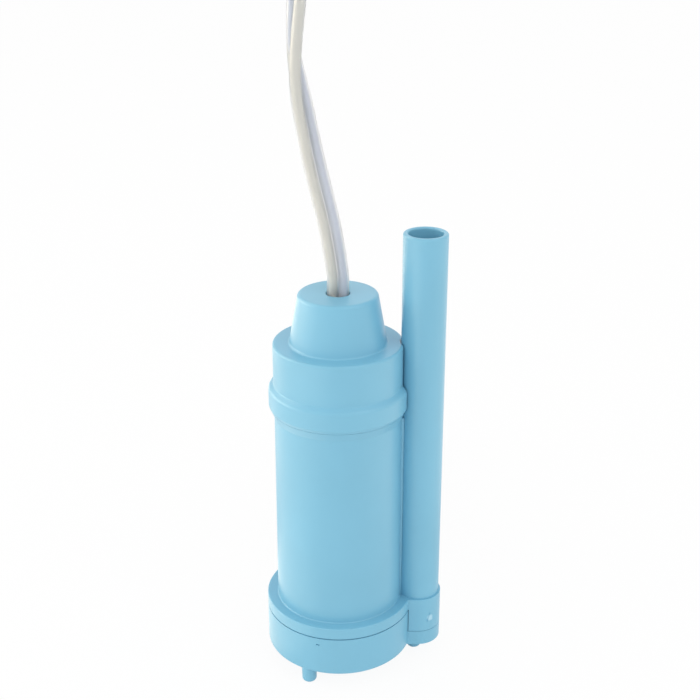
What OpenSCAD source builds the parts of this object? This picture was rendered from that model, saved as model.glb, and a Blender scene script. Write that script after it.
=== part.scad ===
// Submersible water pump: a round motor housing on a footed base, with a riser pipe for the hose
// beside it and a twin flex out of the cap. Millimetres, +Z up, +X from the motor to the riser.
// The origin is on the surface that the pump stands on, at the middle of its outline.

/* [Base cover] */
// Outside diameter of the base cover and of the flange above it
base_d = 38; // [36:0.5:42]
// Thickness of the base cover's wall
cover_wall = 2; // [1.4:0.1:2.4]
// Thickness of the base cover's floor
cover_floor = 2; // [1.4:0.1:3]
// Height of the base cover's lobe under the riser socket
lobe_h = 4; // [2.5:0.1:4.3]
// Height of each foot
foot_h = 4.4; // [3:0.1:8]
// Diameter of each foot
foot_d = 4; // [3:0.1:5]
// How much a foot's radius narrows down to its end
foot_draft = 0.15; // [0:0.05:0.4]
// Rounding of a foot's end
foot_round = 0.9; // [0.3:0.1:1.2]
// Angle from the riser to each of the two free feet
foot_angle = 117; // [100:1:140]
// How far each free foot stands in from the base's edge
foot_edge = 0.2; // [0.1:0.05:1]
// How far the socket's foot stands inside the riser's axis
foot_inset = 0.8; // [0:0.1:2]
// Number of intake slots in the floor
slot_count = 10; // [6:1:14]
// Width of each intake slot
slot_w = 1.6; // [1:0.1:1.8]
// Radius at which the intake slots start
slot_start = 3.5; // [3:0.1:5]
// Length of each intake slot
slot_l = 6; // [3:0.1:8]
// Radius of the outlet port between the chamber and the riser
port_r = 2.5; // [1.8:0.1:2.6]

/* [Housing] */
// Height of the flange
flange_h = 3; // [2.5:0.1:5]
// Thickness of the bulkhead under the motor
bulkhead_t = 3.5; // [3:0.1:6]
// Height of the body from the flange to the cap's parting line
body_h = 53.6; // [50:0.1:70]
// Thickness of the housing's wall at its top
housing_wall = 1.65; // [1.5:0.05:2.2]
// How much the body's radius grows down to the flange
body_draft = 0.3; // [0:0.05:0.6]
// Fillet where the body meets the flange
body_fillet = 0.3; // [0.3:0.1:1.2]
// Radius of the hollow web on each side of the riser
web_round = 0.7; // [0.5:0.1:2.5]
// Height of the flared collar under the cap
collar_h = 2.2; // [1.6:0.1:4]
// Height of the rim that the cap closes over
rim_h = 5.9; // [4:0.1:6.3]
// Thickness left in the housing's wall behind the riser
groove_wall = 1; // [0.7:0.05:1.3]
// Height of the ring that centres the base cover
ring_h = 1.6; // [1:0.1:2]
// Thickness of the ring that centres the base cover
ring_wall = 1.4; // [1:0.1:2]

/* [Riser] */
// Outside diameter of the riser pipe
riser_d = 10.8; // [10:0.1:12]
// Bore of the riser pipe
riser_bore = 8.4; // [7.4:0.1:8.6]
// Height of the riser above the flange
riser_h = 98.2; // [90:0.1:120]
// Length of the plain end that takes the hose
hose_l = 22; // [15:0.5:26]
// How much the riser's radius grows from the hose end down to the flange
riser_draft = 0.05; // [0.05:0.05:0.2]
// Thickness left under the thinner end that stands in the socket
spigot_floor = 0.4; // [0.3:0.1:1]
// Wall of the thinner end
spigot_wall = 0.7; // [0.5:0.05:0.9]
// How much wider than the riser its socket is, each side
socket_step = 0.55; // [0.4:0.05:1]

/* [Cap] */
// How far the band stands out from the body
band_step = 1.35; // [0.8:0.05:2]
// Height of the band
band_h = 6.6; // [6.5:0.1:8]
// Height of the sloped edge on top of the band
band_slope = 1.1; // [0.6:0.1:1.5]
// Rounding of the band's upper edge
band_round = 1.4; // [0.3:0.1:1.6]
// How far the band's lower edge is cut back
band_cut = 0.4; // [0.2:0.05:0.5]
// Height of the cut under the band
band_cut_h = 0.9; // [0.5:0.1:1.2]
// Thickness of the cap's walls
cap_wall = 1.75; // [1.2:0.05:2]
// Thickness of the skirt under the band
skirt_wall = 1.3; // [1.1:0.05:1.4]
// Height of the shoulder
shoulder_h = 10.5; // [8:0.1:14]
// Diameter of the cable cone at its foot
cone_d1 = 23.9; // [22:0.1:26]
// Diameter of the cable cone at its top
cone_d2 = 19.4; // [18:0.1:21]
// Height of the cable cone
cone_h = 12.5; // [11:0.1:16]
// Thickness of the cone's top
cone_top_t = 2.5; // [1.5:0.1:3]
// Depth of the plug that reaches into the housing
plug_l = 6.3; // [6:0.1:8]
// Thickness of the plug's wall
plug_wall = 2.6; // [2.2:0.1:3]
// Cross-section of the cap's O-ring
seal_section = 1.5; // [1:0.1:1.8]

/* [Motor] */
// Diameter of the motor
motor_d = 27.7; // [27:0.1:29]
// Height of the motor's can
can_h = 40; // [38:0.5:44]
// Thickness of the can
can_wall = 1; // [0.8:0.05:1.2]
// Diameter of the shaft
shaft_d = 2.3; // [2:0.1:3]
// Diameter of each bearing
bearing_d = 6; // [5.4:0.1:7]
// Height of each bearing
bearing_h = 2.6; // [2:0.1:3]
// Wall of the bearing's boss
boss_wall = 1.6; // [1:0.1:2]
// Height of the bearing's boss under the can
boss_h = 1.8; // [1.4:0.1:2]
// Thickness of each magnet
magnet_t = 2.4; // [2:0.1:3]
// Height of the magnets
magnet_h = 28; // [24:0.5:29]
// Angle that each magnet covers
magnet_angle = 130; // [110:1:140]
// Air gap between the magnets and the armature
air_gap = 0.5; // [0.4:0.05:0.8]
// Height of the armature's core
core_h = 20; // [16:0.5:21]
// Number of armature poles
pole_count = 5; // [5:1:7]
// Diameter of the hub that the poles stand on
core_hub_d = 8.4; // [8:0.1:9]
// Thickness of a pole's shoe
shoe_t = 1.5; // [1.2:0.1:1.8]
// Angle between neighbouring pole shoes
shoe_gap = 12; // [8:1:16]
// Width of a pole's neck
neck_w = 2.6; // [2:0.1:3]
// How far the windings reach past the core
winding_over = 2.8; // [2:0.1:3]
// Diameter of the commutator
commutator_d = 7.2; // [6.4:0.1:8]
// Height of the commutator
commutator_h = 5.5; // [4.5:0.1:6]
// Side of a carbon brush
brush_w = 3; // [2.4:0.1:3.6]
// Thickness of a brush arm and of its terminal
arm_t = 0.5; // [0.4:0.05:0.8]
// Thickness of the motor's end bell
bell_t = 2.5; // [2:0.1:3]
// Height of a terminal above the end bell
terminal_h = 8; // [7:0.1:10]
// Radius at which the motor screws sit
screw_ring = 8; // [7.9:0.1:9]
// Diameter of a motor screw
screw_d = 2.5; // [2:0.1:3]
// Diameter of a motor screw's head
screw_head_d = 4.4; // [4:0.1:4.6]
// Height of a motor screw's head
screw_head_h = 1.4; // [1:0.1:1.6]
// Thickness of the cushion ring on the motor
cushion_wall = 3; // [2:0.1:4]

/* [Pump] */
// Diameter of the impeller
impeller_d = 25; // [20:0.5:28]
// Thickness of the impeller's disc
disc_t = 1.2; // [1:0.1:1.5]
// Height of the impeller's vanes
vane_h = 3.2; // [2.5:0.1:5]
// Thickness of a vane
vane_t = 1.2; // [0.8:0.1:1.6]
// Number of vanes
vane_count = 6; // [4:1:7]
// Radius of each vane's curve
vane_curve = 9; // [8:0.5:12]
// Diameter of the impeller's hub
impeller_hub_d = 6; // [5:0.1:7]
// Diameter of the shaft seal
seal_d = 8; // [7:0.1:8.2]
// Height of the shaft seal
seal_h = 2.2; // [1.8:0.1:3]
// Height of the ring that keeps the shaft seal
retainer_h = 0.8; // [0.6:0.1:1.2]
// Wall round the shaft seal
seal_wall = 1.7; // [1.2:0.1:1.7]

/* [Cable] */
// Width of the flat twin flex
cord_w = 5.4; // [4.8:0.1:5.8]
// Thickness of the flat twin flex
cord_t = 2.7; // [2.4:0.1:2.9]
// Height of the grommet in the cone
grommet_h = 4.9; // [3:0.1:5]
// Height of the clamp under the grommet
clamp_h = 3.8; // [2:0.1:4]
// Length of flex below the clamp
tail_l = 2; // [1:0.1:2.5]
// Length of the split cores at the free end
lead_l = 18; // [10:1:22]
// Length of the bare tips
tip_l = 6; // [4:1:7]
// Diameter of the bare tips
tip_d = 1.2; // [0.8:0.1:1.4]

/* [Hank] */
// Distance between the hank's two fold centres
hank_run = 52; // [48:1:60]
// How much each run is drawn in at the waist
waist_in = 8; // [5:0.5:9]
// Width of the hank's tie
tie_w = 5; // [3:0.5:8]
// Thickness of the hank's tie
tie_t = 0.5; // [0.4:0.05:0.6]

/* [Fits] */
// Clearance of a glued or pressed fit
fit_gap = 0.05; // [0.02:0.01:0.1]
// Clearance of the shaft in its bearings, its seal and on its own pieces
run_gap = 0.03; // [0.01:0.01:0.1]
// Clearance between pieces that turn and pieces that stand
turn_gap = 0.5; // [0.4:0.05:0.8]
// Clearance of the impeller above the floor
floor_gap = 0.9; // [0.5:0.1:2]
// Clearance of the brushes on the commutator
brush_gap = 0.1; // [0.05:0.05:0.3]
// Clearance of the windings on the core and between each other
winding_gap = 0.3; // [0.1:0.05:0.5]
// Clearance of the motor in the housing
motor_gap = 0.45; // [0.2:0.05:0.6]
// Visible gap between the cap and the riser
seam_gap = 0.35; // [0.1:0.05:0.4]
// Visible slit between the base cover and the riser's socket
slit_gap = 0.16; // [0.1:0.02:0.4]
// Height of the groove between the base cover and the flange
groove_h = 0.25; // [0.15:0.05:0.4]
// Depth of the groove between the base cover and the flange
groove_depth = 0.6; // [0.3:0.05:0.9]
// Gap between the base cover's lobe and the riser's socket
lobe_gap = 0.12; // [0.1:0.02:0.3]
// Clearance round the cable in the cap's hole
hole_gap = 0.4; // [0.2:0.05:0.8]
// Clearance between the cable's loops
loop_gap = 0.6; // [0.5:0.05:1]
// Extra step that the hank's waist takes
waist_step = 0.4; // [0.3:0.05:0.8]

/* [Hidden] */
$fn = 96;
eps = 1;

blue = [0.53, 0.76, 0.87];
steel = [0.72, 0.73, 0.75];
copper = [0.78, 0.48, 0.30];
brass = [0.80, 0.66, 0.36];
black = [0.10, 0.10, 0.11];
white = [0.90, 0.90, 0.88];

// Radii
base_r = base_d / 2;
chamber_r = base_r - cover_wall;
motor_r = motor_d / 2;
bore_r = motor_r + motor_gap;
body_top_r = bore_r + housing_wall;
body_foot_r = body_top_r + body_draft;
band_r = body_top_r + band_step;
lip_r = band_r - band_cut;
rim_r = band_r - skirt_wall;
skirt_r = rim_r + fit_gap;
shoulder_r = bore_r + cap_wall;
shoulder_bore_r = bore_r;
plug_r = bore_r - fit_gap;
plug_bore_r = plug_r - plug_wall;
cone_bore_r = cone_d2 / 2 - cap_wall;
riser_r = riser_d / 2;
riser_foot_r = riser_r + riser_draft;
riser_bore_r = riser_bore / 2;
spigot_r = riser_bore_r + spigot_wall;
socket_r = riser_r + socket_step;
riser_dx = bore_r + groove_wall + fit_gap + riser_r;
motor_x = -(riser_dx + socket_r - base_r) / 2;
riser_x = motor_x + riser_dx;
shaft_r = shaft_d / 2;
bearing_r = bearing_d / 2;
boss_r = bearing_r + boss_wall;
seal_r = seal_d / 2;
hub_r = seal_r + seal_wall;
can_bore_r = motor_r - can_wall;
magnet_bore_r = can_bore_r - magnet_t;
core_r = magnet_bore_r - air_gap;
commutator_r = commutator_d / 2;
impeller_r = impeller_d / 2;
foot_r = foot_d / 2;

// Heights
cover_z = foot_h;
floor_z = cover_z + cover_floor;
impeller_z = floor_z + floor_gap;
impeller_h = vane_h + disc_t;
impeller_top = impeller_z + impeller_h;
hub_h = seal_h + retainer_h;
hub_z = impeller_top + turn_gap;
part_z = hub_z + hub_h;
lobe_z = cover_z + lobe_h;
port_z = lobe_z + lobe_gap + port_r;
flange_z = part_z + flange_h;
seat_z = part_z + bulkhead_t;
collar_z = flange_z + body_h;
rim_z = collar_z + rim_h;
band_z = collar_z + band_h;
shoulder_z = band_z + shoulder_h;
cap_z = shoulder_z + cone_h;
riser_z = flange_z + riser_h;
hose_z = riser_z - hose_l;
spigot_z = part_z + spigot_floor;
can_z = seat_z + can_h;
washer_h = 0.5;
boss_z = seat_z - boss_h;
bell_z = can_z - bell_t;
bearing_z = can_z + boss_h - bearing_h;
commutator_z = bell_z - turn_gap - washer_h - commutator_h;
core_top = commutator_z - turn_gap - winding_over;
core_z = core_top - core_h;
brush_z = commutator_z + (commutator_h - brush_w) / 2;
brush_x = commutator_r + brush_gap;
arm_x = brush_x + brush_w;
terminal_z = can_z + terminal_h;
roof_z = rim_z + fit_gap;
roof_top = roof_z + cap_wall;
plug_z = roof_z - plug_l;
seal_z = plug_z + seal_section;
grommet_z = cap_z - cone_top_t - grommet_h;
clamp_z = grommet_z - clamp_h;
tail_z = clamp_z - tail_l;

// Cut that parts the mouldings' edges, and the small roundings of visible edges
edge_cut = 0.06;
soft_edge = 0.6;
cone_edge = 0.9;
rim_share = 0.4;
rounding_steps = 5;

// Route of the free flex: up out of the cap's hole, over and down behind it, measured from the hole
rise_points = [[0, 0, 0], [0, 0, 4], [-0.6, 0, 9], [-1.85, 0, 16.5], [-3.65, 0, 24.5],
    [-5.4, 0, 32.3], [-6.8, 0, 39.5], [-8.05, 0, 46.5], [-8.95, 0, 53], [-9.25, 0, 59],
    [-8.8, 0, 66], [-8, 1.5, 76], [-7.35, 7, 84.5], [-7.15, 16, 90], [-7.45, 26, 91.5],
    [-8.35, 36, 88.5], [-9.45, 44, 81], [-10.45, 47.5, 72], [-11.35, 48, 62], [-12.55, 47.8, 51.5],
    [-11.75, 47.8, 41], [-10.05, 47.8, 31.5], [-7.85, 47.8, 21], [-5.25, 48, 10], [-3.05, 48, 0],
    [-1.55, 48, -10], [-0.85, 48, -20.5]];
// The rest of the route, down to the floor, measured from the start of the hank
drop_points = [[2.7, -30, 60.4], [2.6, -30.2, 49.4], [2.4, -30.4, 38.9], [2.1, -30.4, 29.4],
    [1.7, -29.4, 20.4], [1.2, -25.4, 11.7], [0.6, -18.7, 5], [0.2, -10, 0.9], [0, 0, 0]];
// Degrees that the flex has turned about its own line, at route points counted from the hole
twist_table = [[0, 0], [3, 12], [5, 22], [6, 30], [7, 45], [8, 80], [9, 112], [10, 127], [11, 145],
    [13, 190], [15, 235], [17, 270]];

// The hank: loops of flex on edge, in two layers, on the floor behind the pump
hank_x = 1;
hank_y = 78;
hank_loops = 3;
hank_rings = 32;
fold_r = 16.2;
tie_low = 0.1;
tie_gap = 0.4;
hank_low = tie_low + tie_t + tie_gap;
layer_low = hank_low + cord_w / 2;
layer_high = layer_low + cord_w + loop_gap;
hank_step = cord_t + loop_gap + waist_step;
// How fast the flex climbs between the layers, and the flex's half depth between its cores
climb_rate = 6;
valley_share = 0.32;

// Rounded outlines: each point is [x, y, radius of its corner]
function unit(v) = v / norm(v);
function flat(p) = [p[0], p[1]];
function corner(before, at, after, r) =
    let (a = unit(flat(before) - flat(at)), b = unit(flat(after) - flat(at)))
    let (half = acos(a * b) / 2, centre = flat(at) + unit(a + b) * r / sin(half))
    let (first = flat(at) + a * r / tan(half) - centre, last = flat(at) + b * r / tan(half) - centre)
    let (sweep = 180 - 2 * half)
    [for (i = [0 : rounding_steps])
        let (t = i / rounding_steps)
        centre + (first * sin((1 - t) * sweep) + last * sin(t * sweep)) / sin(sweep)];
function outline(points) =
    let (n = len(points))
    [for (i = [0 : n - 1])
        each (points[i][2] > 0
            ? corner(points[(i + n - 1) % n], points[i], points[(i + 1) % n], points[i][2])
            : [flat(points[i])])];

// A solid swept along points: one ring of section points per route point, closed by fans
function ring(at, across, along, section) =
    let (other = cross(along, across))
    [for (s = section) at + across * s[0] + other * s[1]];
function square_to(v, along) = unit(v - (v * along) * along);
function direction(points, i, first, last) =
    i == 0 ? first
    : i == len(points) - 1 ? last
    : unit(points[i + 1] - points[i - 1]);

module swept(rings, first, last) {
    n = len(rings[0]);
    m = len(rings);
    points = concat([for (r = rings) each r], [first, last]);
    sides = [for (i = [0 : m - 2]) for (j = [0 : n - 1])
        let (a = i * n + j, b = i * n + (j + 1) % n)
        each [[a, a + n, b], [b, a + n, b + n]]];
    ends = [for (j = [0 : n - 1])
        each [[m * n, j, (j + 1) % n], [m * n + 1, (m - 1) * n + (j + 1) % n, (m - 1) * n + j]]];
    polyhedron(points = points, faces = concat(sides, ends));
}

// Sections of the flex: a figure of eight for the free stretch and a plain six sides for the loops
core_offset = (cord_w - cord_t) / 2;
function lobe(side) = [for (a = [-72 : 36 : 72])
    [side * (core_offset + cord_t / 2 * cos(a)), side * cord_t / 2 * sin(a)]];
flex_section = concat(lobe(1), [[0, cord_t * valley_share]], lobe(-1), [[0, -cord_t * valley_share]]);
loop_section = [[cord_w / 2, 0], [core_offset, cord_t / 2], [-core_offset, cord_t / 2],
    [-cord_w / 2, 0], [-core_offset, -cord_t / 2], [core_offset, -cord_t / 2]];

function flex_across(along, angle) =
    let (x = square_to([1, 0, 0], along))
    x * cos(angle) + cross(along, x) * sin(angle);

// One point of the hank, s loops from its start at the waist of the inner left run
function eased(t) = let (c = min(1, max(0, t))) c * c * (3 - 2 * c);
function waist(y) = waist_in * eased((hank_run / 2 - abs(y - hank_y)) / (hank_run / 2 - tie_w / 2));
function loop_r(s) = fold_r + hank_step * min(s, hank_loops - s);
function loop_z(s) = layer_high - (layer_high - layer_low) * eased((s - hank_loops / 2) * climb_rate + 1 / 2);
function left_run(s, t) =
    let (y = hank_y + hank_run * t)
    [hank_x - loop_r(s) + waist(y), y, loop_z(s)];
function right_run(s, t) =
    let (y = hank_y + hank_run * t)
    [hank_x + loop_r(s) - waist(y), y, loop_z(s)];
function fold(s, side, angle) =
    [hank_x + loop_r(s) * cos(angle), hank_y + side * hank_run / 2 + loop_r(s) * sin(angle), loop_z(s)];
function hank_point(s) =
    let (u = s - floor(s))
    u <= 1 / 8 ? left_run(s, u * 4)
    : u < 3 / 8 ? fold(s, 1, 180 - (u - 1 / 8) * 720)
    : u <= 5 / 8 ? right_run(s, (1 / 2 - u) * 4)
    : u < 7 / 8 ? fold(s, -1, -(u - 5 / 8) * 720)
    : left_run(s, (u - 1) * 4);
hank_count = hank_loops * hank_rings;
hank_line = [for (i = [0 : hank_count]) hank_point(i / hank_rings)];
route = concat([for (p = rise_points) p + [motor_x, 0, cap_z]], [for (p = drop_points) p + hank_line[0]]);
// Least gap between loops, on points: beside each other, or one above the other
function pair_gap(a, b) = max(norm(flat(a) - flat(b)) - cord_t, abs(a[2] - b[2]) - cord_w);
hank_gap = min([for (i = [0 : hank_count]) for (j = [i + hank_rings / 2 : 1 : hank_count])
    pair_gap(hank_line[i], hank_line[j])]);
function sum_steps(p, i) = i == 0 ? 0 : norm(p[i] - p[i - 1]) + sum_steps(p, i - 1);

module at_motor() {
    translate([motor_x, 0, 0])
        children();
}

module at_riser() {
    translate([riser_x, 0, 0])
        children();
}

module turned(points) {
    rotate_extrude()
        polygon(outline(points));
}

module tube(r, bore, z, h) {
    translate([0, 0, z])
        difference() {
            cylinder(r = r, h = h);
            translate([0, 0, -eps])
                cylinder(r = bore, h = h + 2 * eps);
        }
}

module rod(r, z, h) {
    translate([0, 0, z])
        cylinder(r = r, h = h);
}

// Space that the riser takes above the flange, with a clearance
module riser_outside(gap) {
    translate([0, 0, flange_z])
        cylinder(r1 = riser_foot_r + gap, r2 = riser_r + gap, h = riser_h - hose_l);
    rod(riser_r + gap, hose_z, hose_l);
}

module arc_piece(r, bore, z, h, angle) {
    rotate([0, 0, -angle / 2])
        translate([0, 0, z])
            rotate_extrude(angle = angle)
                translate([bore, 0])
                    square([r - bore, h]);
}

// Outline of the riser's lobe, straight sided from the motor's axis out to the riser
module lobe_outline() {
    translate([riser_dx, 0])
        circle(r = socket_r);
    translate([0, -socket_r])
        square([riser_dx, 2 * socket_r]);
}

// The flat flex's outline with a clearance all round
module flex_outline(gap) {
    for (side = [-1, 1])
        translate([side * core_offset, 0])
            circle(r = cord_t / 2 + gap);
    square([2 * core_offset, cord_t + 2 * gap], center = true);
}

module for_screws() {
    for (side = [-1, 1])
        translate([0, side * screw_ring, 0])
            children();
}

module for_sides() {
    for (turn = [0, 180])
        rotate([0, 0, turn])
            children();
}

// Housing: body, flange, collar and rim turned round the motor, with the riser's socket beside them
module housing_shell() {
    recess_z = boss_z - fit_gap;
    hole_r = shaft_r + turn_gap;
    fillet_r = min(body_fillet, (base_r - body_foot_r) / 2);
    turned([[seal_r + fit_gap, hub_z, 0], [hub_r, hub_z, 0], [hub_r, part_z, 0],
        [chamber_r - fit_gap - ring_wall, part_z, 0], [chamber_r - fit_gap - ring_wall, part_z - ring_h, 0],
        [chamber_r - fit_gap, part_z - ring_h, 0], [chamber_r - fit_gap, part_z, 0],
        [base_r - edge_cut, part_z, 0], [base_r, part_z + edge_cut, 0], [base_r, flange_z, soft_edge / 2],
        [body_foot_r, flange_z, fillet_r], [body_top_r, collar_z - collar_h, soft_edge],
        [lip_r - edge_cut, collar_z, 0], [rim_r, collar_z, 0], [rim_r, rim_z, 0], [bore_r, rim_z, 0],
        [bore_r, seat_z, 0], [boss_r + fit_gap, seat_z, 0], [boss_r + fit_gap, recess_z, 0],
        [hole_r, recess_z, 0], [hole_r, part_z, 0], [seal_r + fit_gap, part_z, 0]]);
}

module housing_socket() {
    translate([0, 0, lobe_z + lobe_gap])
        linear_extrude(flange_z - lobe_z - lobe_gap)
            difference() {
                lobe_outline();
                circle(r = base_r + slit_gap);
            }
    translate([0, 0, part_z])
        linear_extrude(flange_h)
            difference() {
                lobe_outline();
                circle(r = base_r - soft_edge);
            }
}

// Web that fills the crease on each side of the riser with a hollow round
module riser_web() {
    sink = 0.1;
    to_body = body_top_r - sink + web_round;
    to_riser = riser_r - sink + web_round;
    along = (pow(riser_dx, 2) + pow(to_body, 2) - pow(to_riser, 2)) / (2 * riser_dx);
    out = sqrt(pow(to_body, 2) - pow(along, 2));
    body_side = [along, out] * (body_top_r - sink) / to_body;
    riser_side = [riser_dx, 0] + [along - riser_dx, out] * (riser_r - sink) / to_riser;
    translate([0, 0, flange_z - eps])
        linear_extrude(body_h - collar_h + eps)
            difference() {
                polygon([body_side, riser_side,
                    [riser_side[0], -riser_side[1]], [body_side[0], -body_side[1]]]);
                for (side = [-1, 1])
                    translate([along, side * out])
                        circle(r = web_round);
            }
}

// Small raised pointer moulded on the socket
module socket_mark() {
    mark_w = 1.8;
    mark_h = 2.4;
    mark_angle = -58;
    mark_z = lobe_z + 3;
    mark_lean = 2;
    proud = 0.2;
    translate([riser_dx, 0, mark_z])
        rotate([0, 0, mark_angle])
            translate([socket_r + proud, 0, 0])
                rotate([90 - mark_lean, 0, 90])
                    translate([0, 0, -2 * proud])
                        linear_extrude(2 * proud)
                            polygon([[-mark_w / 2, 0], [mark_w / 2, 0], [0, mark_h]]);
}

module motor_housing() {
    color(blue)
        at_motor()
            difference() {
                union() {
                    housing_shell();
                    housing_socket();
                    riser_web();
                    socket_mark();
                }
                translate([riser_dx, 0, 0]) {
                    riser_outside(fit_gap);
                    rod(spigot_r + fit_gap, spigot_z - fit_gap, flange_z - spigot_z + eps);
                    rod(riser_bore_r, port_z - port_r, flange_z - port_z + port_r);
                }
                translate([base_r - cover_wall, 0, port_z])
                    rotate([0, 90, 0])
                        cylinder(r = port_r, h = riser_dx - base_r + cover_wall);
                for_screws()
                    rod(screw_d / 2 + fit_gap, part_z - eps, bulkhead_t + 2 * eps);
            }
}

// Cap: skirt band over the housing's rim, plug inside it, shoulder and cable cone above
module top_cap() {
    groove_r = bore_r - seal_section - 2 * fit_gap;
    hole_r = cord_w / 2 + hole_gap / 2;
    color(blue)
        at_motor()
            difference() {
                turned([[skirt_r, collar_z + fit_gap, 0], [lip_r - edge_cut, collar_z + fit_gap, 0],
                    [lip_r, collar_z + fit_gap + edge_cut, 0],
                    [band_r, collar_z + fit_gap + band_cut_h, soft_edge],
                    [band_r, band_z - band_slope, band_round],
                    [shoulder_r, band_z, min(soft_edge, band_slope / 2)],
                    [shoulder_r, shoulder_z, soft_edge],
                    [cone_d1 / 2, shoulder_z, soft_edge], [cone_d2 / 2, cap_z, cone_edge],
                    [hole_r, cap_z, soft_edge / 2], [hole_r, cap_z - cone_top_t, 0],
                    [cone_bore_r, cap_z - cone_top_t, 0], [cone_bore_r, shoulder_z - cap_wall, 0],
                    [shoulder_bore_r, shoulder_z - cap_wall, 0], [shoulder_bore_r, roof_top, 0],
                    [plug_bore_r, roof_top, 0], [plug_bore_r, plug_z, 0], [plug_r, plug_z, 0],
                    [plug_r, seal_z - seal_section / 2 - fit_gap, 0],
                    [groove_r, seal_z - seal_section / 2 - fit_gap, 0],
                    [groove_r, seal_z + seal_section / 2 + fit_gap, 0],
                    [plug_r, seal_z + seal_section / 2 + fit_gap, 0],
                    [plug_r, roof_z, 0], [skirt_r, roof_z, 0]]);
                translate([riser_dx, 0, 0])
                    riser_outside(seam_gap);
            }
}

module cap_seal() {
    color(black)
        at_motor()
            translate([0, 0, seal_z])
                rotate_extrude()
                    translate([bore_r - fit_gap - seal_section / 2, 0])
                        circle(d = seal_section, $fn = 32);
}

// Base cover: pump chamber cup, lobe under the socket, feet and intake slots
module foot_at(r, angle) {
    root_z = cover_z + cover_floor / 2;
    rotate([0, 0, angle])
        translate([r, 0, 0])
            turned([[0, 0, 0], [foot_r - foot_draft, 0, foot_round], [foot_r, root_z, 0], [0, root_z, 0]]);
}

// Small pit that the mould leaves on the cover's side
module mould_pit() {
    pit_w = 0.9;
    pit_h = 0.35;
    pit_depth = 0.3;
    pit_angle = -106;
    pit_drop = 2.3;
    rotate([0, 0, pit_angle])
        translate([base_r - pit_depth, -pit_w / 2, part_z - pit_drop])
            cube([pit_depth + eps, pit_w, pit_h]);
}

module base_cover() {
    color(blue)
        at_motor()
            difference() {
                union() {
                    turned([[0, cover_z, 0], [base_r, cover_z, soft_edge], [base_r, part_z - groove_h, 0],
                        [base_r - groove_depth, part_z - groove_h, 0], [base_r - groove_depth, part_z, 0],
                        [chamber_r, part_z, 0], [chamber_r, floor_z, 0], [0, floor_z, 0]]);
                    translate([0, 0, cover_z])
                        linear_extrude(lobe_h)
                            difference() {
                                lobe_outline();
                                circle(r = chamber_r + cover_wall / 2);
                            }
                    foot_at(riser_dx - foot_inset, 0);
                    foot_at(base_r - foot_edge - foot_r, foot_angle);
                    foot_at(base_r - foot_edge - foot_r, -foot_angle);
                }
                for (i = [0 : slot_count - 1])
                    rotate([0, 0, (i + 0.5) * 360 / slot_count])
                        translate([slot_start, -slot_w / 2, cover_z - eps])
                            cube([slot_l, slot_w, cover_floor + 2 * eps]);
                translate([chamber_r - eps, 0, port_z])
                    rotate([0, 90, 0])
                        cylinder(r = port_r, h = cover_wall + 2 * eps);
                mould_pit();
            }
}

// Riser: pipe with a plain end for the hose, a slight draft below it and a thinner end in the socket
module riser_pipe() {
    rim = rim_share * (riser_r - riser_bore_r);
    color(blue)
        at_riser()
            turned([[riser_bore_r, spigot_z, 0], [spigot_r, spigot_z, 0], [spigot_r, flange_z, 0],
                [riser_foot_r, flange_z, 0], [riser_r, hose_z, 0], [riser_r, riser_z, rim],
                [riser_bore_r, riser_z, rim]]);
}

// Cable entry inside the cone
module cable_grommet() {
    color(black)
        at_motor()
            translate([0, 0, grommet_z])
                linear_extrude(grommet_h - fit_gap)
                    difference() {
                        circle(r = cone_bore_r - fit_gap);
                        flex_outline(fit_gap);
                    }
}

module cable_clamp() {
    color(white)
        at_motor()
            translate([0, 0, clamp_z])
                linear_extrude(clamp_h - fit_gap)
                    difference() {
                        circle(r = cone_bore_r - fit_gap);
                        flex_outline(fit_gap);
                    }
}

module cable_tail() {
    color(white)
        at_motor()
            translate([0, 0, tail_z])
                linear_extrude(cap_z - tail_z)
                    flex_outline(0);
}

// Two cores from the clamp down to the terminals
module inner_leads() {
    lead_r = 1.1;
    lead_rings = 8;
    lead_section = [for (a = [0 : 45 : 315]) [lead_r * cos(a), lead_r * sin(a)]];
    top = tail_z - fit_gap;
    low = terminal_z + fit_gap;
    out = arm_x + arm_t / 2;
    line = [for (i = [0 : lead_rings])
        let (t = i / lead_rings)
        [core_offset + (out - core_offset) * eased(t), 0, top + (low - top) * t]];
    rings = [for (i = [0 : lead_rings])
        let (along = direction(line, i, [0, 0, -1], [0, 0, -1]))
        ring(line[i], [0, 1, 0], along, lead_section)];
    color(copper)
        at_motor()
            for_sides()
                swept(rings, line[0], line[lead_rings]);
}

// Motor
module motor_can() {
    color(steel)
        at_motor()
            difference() {
                turned([[bearing_r + fit_gap, boss_z, 0], [boss_r, boss_z, 0], [boss_r, seat_z, 0],
                    [motor_r, seat_z, soft_edge], [motor_r, can_z, 0], [can_bore_r, can_z, 0],
                    [can_bore_r, seat_z + can_wall, 0], [bearing_r + fit_gap, seat_z + can_wall, 0]]);
                for_screws()
                    rod(screw_d / 2 + run_gap, seat_z - eps, can_wall + 2 * eps);
            }
}

module motor_end_bell() {
    color(white)
        at_motor()
            difference() {
                union() {
                    rod(can_bore_r - fit_gap, bell_z, bell_t);
                    rod(boss_r, can_z, boss_h);
                }
                rod(shaft_r + turn_gap, bell_z - eps, bell_t + boss_h + 2 * eps);
                rod(bearing_r + fit_gap, bearing_z, bearing_h + eps);
                for_sides()
                    translate([arm_x - fit_gap, -brush_w / 2 - fit_gap, bell_z - eps])
                        cube([arm_t + 2 * fit_gap, brush_w + 2 * fit_gap, bell_t + 2 * eps]);
            }
}

module field_magnets() {
    magnet_z = seat_z + can_wall + fit_gap;
    color(black)
        at_motor()
            for (turn = [90, 270])
                rotate([0, 0, turn])
                    arc_piece(can_bore_r - fit_gap, magnet_bore_r, magnet_z, magnet_h, magnet_angle);
}

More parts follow.
